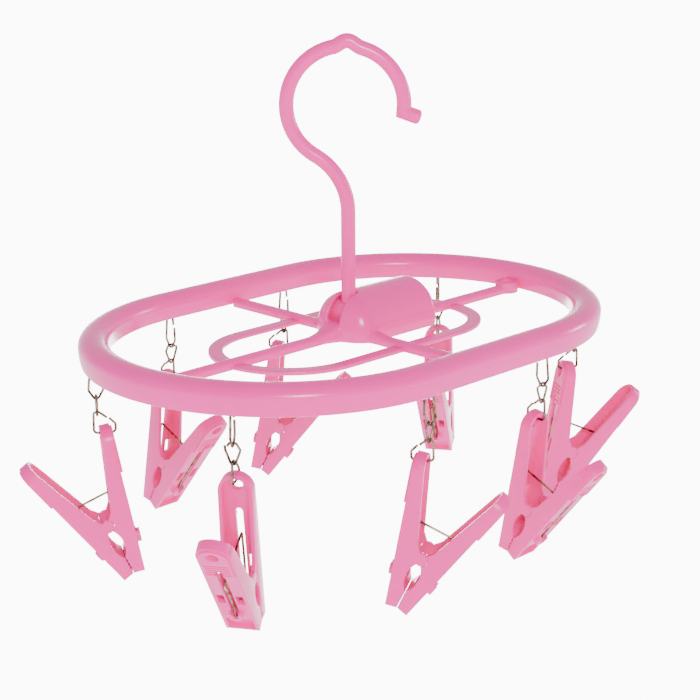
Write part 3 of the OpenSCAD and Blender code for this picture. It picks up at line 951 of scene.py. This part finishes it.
@dataclass
class Chain:
    """The three bent-wire links that one clip hangs on."""

    clip: int
    wire: float = 0.6 * MM
    width: float = 3.3 * MM
    gap: float = 0.15 * MM
    bar_r: float = 1.2 * MM
    top_h: float = 19.1 * MM
    mid_h: float = 9.2 * MM
    low_h: float = 9.8 * MM
    foot: float = 0.9 * MM

    def open_link(self, corners: Sequence[tuple[float, float]], bend: float, flare: float) -> Array:
        """A link bent from one wire: it starts part way up its last side and ends just short of
        its own start, with the free end sprung outward.

        Args:
            corners: The corners in millimetres, in order.
            bend: The bends' radius in millimetres.
            flare: How far the free end stands out, in millimetres.

        Returns:
            The middle line in metres.
        """
        p = np.asarray(corners, float)
        last, first = p[-1], p[0]
        side = first - last
        out = np.array([side[1], -side[0]]) / np.linalg.norm(side)
        if out[0] * last[0] < 0:
            out = -out
        start, end = last + 0.52 * side, last + 0.42 * side + flare * out
        return rounded_path(np.vstack([start, p, end]), bend) * MM

    def build(self) -> None:
        """Makes the links from the joints that they swing on."""
        c = f"clip_{self.clip}"
        top, mid, low, eye = (joint(f"{c}_{n}_sway") for n in ("chain", "mid", "low", "clip"))
        wire, w, foot = self.wire / MM, self.width / MM, self.foot / MM
        side = self.bar_r / MM + wire
        h = self.top_h / MM
        corners = [(-side, 0), (side, 0), (w, 4 - h), (foot, -h), (-foot, -h), (-w, 4 - h)]
        path = self.open_link(corners, bend=1.4, flare=0.5)
        across = (-top["axis"][1], top["axis"][0], 0)
        self.link("top", path, top["pos_m"], side + self.gap / MM, across)
        drop = 2 * wire + self.gap / MM
        h = self.mid_h / MM
        corners = [(-1.5, 0), (1.5, 0), (w, -3), (foot, -h), (-foot, -h), (-w, -3)]
        path = self.open_link(corners, bend=1.1, flare=1.1)
        self.link("mid", path, mid["pos_m"], drop, low["axis"])
        h = self.low_h / MM
        heading = np.array(eye["axis"])
        eye_x = (np.array(eye["pos_m"]) - np.array(low["pos_m"]))[:2] @ heading[:2] / MM
        back = -eye_x + 1 + wire + 1.2
        corners = [(-0.9, 0), (1.6, 0), (1.8, 1 - h), (0.6, -h)]
        corners += [(1 - back, -h), (-back, 1 - h), (-back, -0.6 * h)]
        path = self.open_link(corners, bend=1.2, flare=0.4)
        self.link("low", path, low["pos_m"], drop, heading)

    def link(
        self, level: str, path: Array, pivot: Sequence[float], rise: float, x_axis: Sequence[float]
    ) -> None:
        """Makes one link.

        Args:
            level: top, mid or low.
            path: The middle line, from the middle of its upper wire.
            pivot: The point that it swings on.
            rise: How far its upper wire stands over that point, in millimetres.
            x_axis: The direction of its width.
        """
        origin = np.array(pivot) + np.array([0, 0, rise * MM])
        shell = rod_shell(path, self.wire, 14).moved(frame_matrix(origin, x_axis))
        piece = make_piece(f"clip_{self.clip}_{level}_wire", shell, 50)
        body, node = f"clip_{self.clip}_{level}_link", f"clip_{self.clip}_link_{level}"
        dress(piece, Finish.CHAIN, body, "chain_wire", node)


@dataclass
class Clip:
    """A sprung clip: two moulded legs that roll on their lobes, and the bent wire between them."""

    leg_angle: float = 14.0
    lean: float = 24.5
    nose_depth: float = 5.3 * MM
    nose_z: float = -27.2 * MM
    spring_r: float = 0.55 * MM
    crown_s: float = 41 * MM
    button_s: float = 15 * MM
    edge: float = 0.32 * MM
    crown_depth: float = 0.45 * MM
    blend_reach: float = 0.9

    def local(self, clip: int) -> Array:
        """Works out a clip's own frame.

        Args:
            clip: The clip's number.

        Returns:
            The matrix of a frame with its origin on the fulcrum, X towards the free leg and Z up
            the clip's middle, which leans back from upright.
        """
        opening = joint(f"clip_{clip}_open")
        heading = np.array(joint(f"clip_{clip}_clip_sway")["axis"])
        a = math.radians(self.lean)
        up = np.array([0, 0, 1.0])
        x_axis = math.cos(a) * heading - math.sin(a) * up
        z_axis = math.sin(a) * heading + math.cos(a) * up
        return frame_matrix(opening["pos_m"], x_axis, z_axis)

    def leg_template(self) -> tuple[Array, list[list[int]]]:
        """The free leg in the clip's frame, with every moulded edge rounded.

        Returns:
            Its points and faces.
        """
        bm = merged_copy("leg", "clip_2_jaw_free")
        bm.transform(Matrix(np.linalg.inv(self.local(2))))
        bmesh.ops.dissolve_limit(bm, angle_limit=math.radians(1.0), verts=bm.verts, edges=bm.edges)
        mesh = bpy.data.meshes.new("leg")
        bm.to_mesh(mesh)
        bm.free()
        piece = bpy.data.objects.new("leg", mesh)
        bpy.context.scene.collection.objects.link(piece)
        bevel = piece.modifiers.new("moulded edges", "BEVEL")
        bevel.width, bevel.segments, bevel.limit_method = self.edge, 3, "ANGLE"
        bevel.angle_limit = math.radians(28)
        bevel.use_clamp_overlap = True
        bevel.miter_outer = "MITER_ARC"
        rounded = modified(piece)
        points = np.empty(len(rounded.vertices) * 3, np.float32)
        rounded.vertices.foreach_get("co", points)
        return points.reshape(-1, 3).astype(float), [list(p.vertices) for p in rounded.polygons]

    def face_point(self, s: Array, depth: Array) -> Array:
        """Finds points by the free leg's outer face.

        Args:
            s: Distances up the face from the nose.
            depth: Distances in from the face.

        Returns:
            The points' X and Z in the clip's frame, as (points, 2).
        """
        a = math.radians(self.leg_angle)
        x = self.nose_depth + s * math.sin(a) - depth * math.cos(a)
        return np.column_stack([x, self.nose_z + s * math.cos(a) + depth * math.sin(a)])

    def spring_path(self) -> Array:
        """Works out the spring's wire.

        Returns:
            Its middle line: from one button's notch up the slot, across, and down again.
        """
        b = self.button_s
        s = np.array([b - 0.5 * MM, b + 1.2 * MM, b + 4.6 * MM, self.crown_s])
        depth = np.array([-0.65 * MM, -0.75 * MM, 0.30 * MM, self.crown_depth])
        right = self.face_point(s, depth)
        left = right[::-1] * np.array([[-1, 1]])
        return rounded_path(np.concatenate([right, left]), 1.3 * MM)

    def build(self) -> None:
        """Makes all eight clips from one leg and one wire."""
        points, faces = self.leg_template()
        spring = rod_shell(self.spring_path(), self.spring_r, 14)
        half_turn = np.diag([-1.0, -1.0, 1.0, 1.0])
        for i in CLIPS:
            place = self.local(i)
            for which, turn in (("free", np.eye(4)), ("hung", half_turn)):
                matrix = place @ turn
                mesh = bpy.data.meshes.new(f"clip_{i}_{which}_leg")
                mesh.from_pydata((points @ matrix[:3, :3].T + matrix[:3, 3]).tolist(), [], faces)
                piece = show(mesh.name, mesh, 32)
                dress(piece, Finish.CLIP, f"clip_{i}_{which}", "clip_plastic", f"clip_{i}_jaw_{which}")
            wire = make_piece(f"clip_{i}_spring_wire", spring.moved(place), 50)
            wire.data.materials.append(Finish.SPRING.material())
            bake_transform(wire)
            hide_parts(f"clip_{i}_spring")
            log.info("%s: %d faces", wire.name, len(wire.data.polygons))


@dataclass
class InnerParts:
    """The swivel block and the push-on ring, whose CAD shapes are kept."""

    def build(self) -> None:
        """Gives both their finishes."""
        for node, finish in (("swivel_block", Finish.FRAME), ("hook_retainer", Finish.CHAIN)):
            data = frame["nodes"][node].data
            data.materials.clear()
            data.materials.append(finish.material())
            log.info("%s: finished", node)


# ---- studio ----


@dataclass
class Studio:
    """A white room with soft light, and the camera."""

    heading: float = 0.788
    pitch: float = 0.284
    roll: float = -0.006
    distance: float = 798.87 * MM
    aim_right: float = 0.53 * MM
    aim_down: float = 9.01 * MM
    lens: float = 86.68
    low_light: float = 2.3
    high_light: float = 0.95
    screen_light: float = 11.0
    screen_inner: float = 17.5
    screen_outer: float = 22.0
    lamp_size: float = 0.30
    aim_under: float = 30 * MM

    def axes(self) -> tuple[Array, Array, Array]:
        """Works out the camera's directions from its heading and pitch.

        Returns:
            Its level right, its view direction and its up, before the small roll.
        """
        right = np.array([math.cos(self.heading), -math.sin(self.heading), 0])
        level_way = np.array([math.sin(self.heading), math.cos(self.heading), 0])
        way = level_way * math.cos(self.pitch) - np.array([0, 0, math.sin(self.pitch)])
        up = level_way * math.sin(self.pitch) + np.array([0, 0, math.cos(self.pitch)])
        return right, way, up

    def camera(self, level: float) -> None:
        """Makes the camera, which looks past the frame's middle from a little above it.

        Args:
            level: The height of the spokes' middle.
        """
        right, way, up = self.axes()
        right_r = math.cos(self.roll) * right + math.sin(self.roll) * up
        up_r = math.cos(self.roll) * up - math.sin(self.roll) * right
        middle = np.array([0, 0, level])
        place = middle + self.aim_right * right_r - self.aim_down * up_r - self.distance * way
        data = bpy.data.cameras.new("camera")
        data.lens, data.sensor_width, data.clip_end = self.lens, 36, 100
        camera = bpy.data.objects.new("camera", data)
        matrix = Matrix(np.column_stack([right_r, up_r, -way]).tolist()).to_4x4()
        matrix.translation = Vector(place)
        camera.matrix_world = matrix
        bpy.context.scene.collection.objects.link(camera)
        bpy.context.scene.camera = camera

    def light(
        self, name: str, place: Sequence[float], size: float, power: float, level: float
    ) -> None:
        """Adds a square area light that faces just under the frame's middle.

        Args:
            name: The light's name.
            place: Where it stands, from the point that it faces, in metres.
            size: Its side, in metres.
            power: Its power, in watts.
            level: The height of the spokes' middle.
        """
        data = bpy.data.lights.new(name, "AREA")
        data.shape, data.size, data.energy = "SQUARE", size, power
        lamp = bpy.data.objects.new(name, data)
        middle = Vector((0, 0, level - self.aim_under))
        lamp.location = Vector(place) + middle
        lamp.rotation_mode = "QUATERNION"
        lamp.rotation_quaternion = (middle - lamp.location).to_track_quat("-Z", "Y")
        bpy.context.scene.collection.objects.link(lamp)

    def build(self, level: float) -> None:
        """Makes the camera, the lights and the white surround.

        The surround is brighter below than above, and a round screen shines in it straight
        behind the hanger. There is no floor, because the hanger hangs from a rail.

        Args:
            level: The height of the spokes' middle.
        """
        self.camera(level)
        self.light("key", (-0.75, -1.05, 0.55), self.lamp_size, 12.0, level)
        self.light("side", (1.2, -0.5, 0.3), self.lamp_size, 4.0, level)
        world = bpy.data.worlds.new("white_room")
        world.use_nodes = True
        tree = world.node_tree
        tree.nodes.clear()
        way = add_node(tree, "ShaderNodeTexCoord", {}).outputs["Generated"]
        height = add_node(tree, "ShaderNodeSeparateXYZ", {0: way}).outputs["Z"]
        room = add_node(
            tree, "ShaderNodeMapRange",
            {
                "Value": height,
                "From Min": -0.25,
                "From Max": 0.35,
                "To Min": self.low_light,
                "To Max": self.high_light,
            },
            interpolation_type="SMOOTHSTEP",
        )
        forward = add_node(
            tree, "ShaderNodeVectorMath", {0: way, 1: self.axes()[1]}, operation="DOT_PRODUCT"
        )
        screen = add_node(
            tree, "ShaderNodeMapRange",
            {
                "Value": forward.outputs["Value"],
                "From Min": math.cos(math.radians(self.screen_outer)),
                "From Max": math.cos(math.radians(self.screen_inner)),
                "To Min": 0.0,
                "To Max": self.screen_light,
            },
            interpolation_type="SMOOTHSTEP",
        )
        strength = add_node(
            tree, "ShaderNodeMath", {0: room.outputs[0], 1: screen.outputs[0]}, operation="MAXIMUM"
        )
        surround = add_node(
            tree, "ShaderNodeBackground",
            {"Color": (1, 1, 1, 1), "Strength": strength.outputs[0]},
        )
        add_node(tree, "ShaderNodeOutputWorld", {"Surface": surround.outputs[0]})
        bpy.context.scene.world = world


def main() -> None:
    logging.basicConfig(level=logging.INFO, format="%(message)s")
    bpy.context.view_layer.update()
    rim = Rim()
    level = rim.level()
    Studio().build(level)
    rim.build()
    InnerLoop().build()
    Cross().build(level)
    Hook().build(level)
    for i in CLIPS:
        Chain(i).build()
    Clip().build()
    InnerParts().build()


if __name__ == "__main__":
    main()
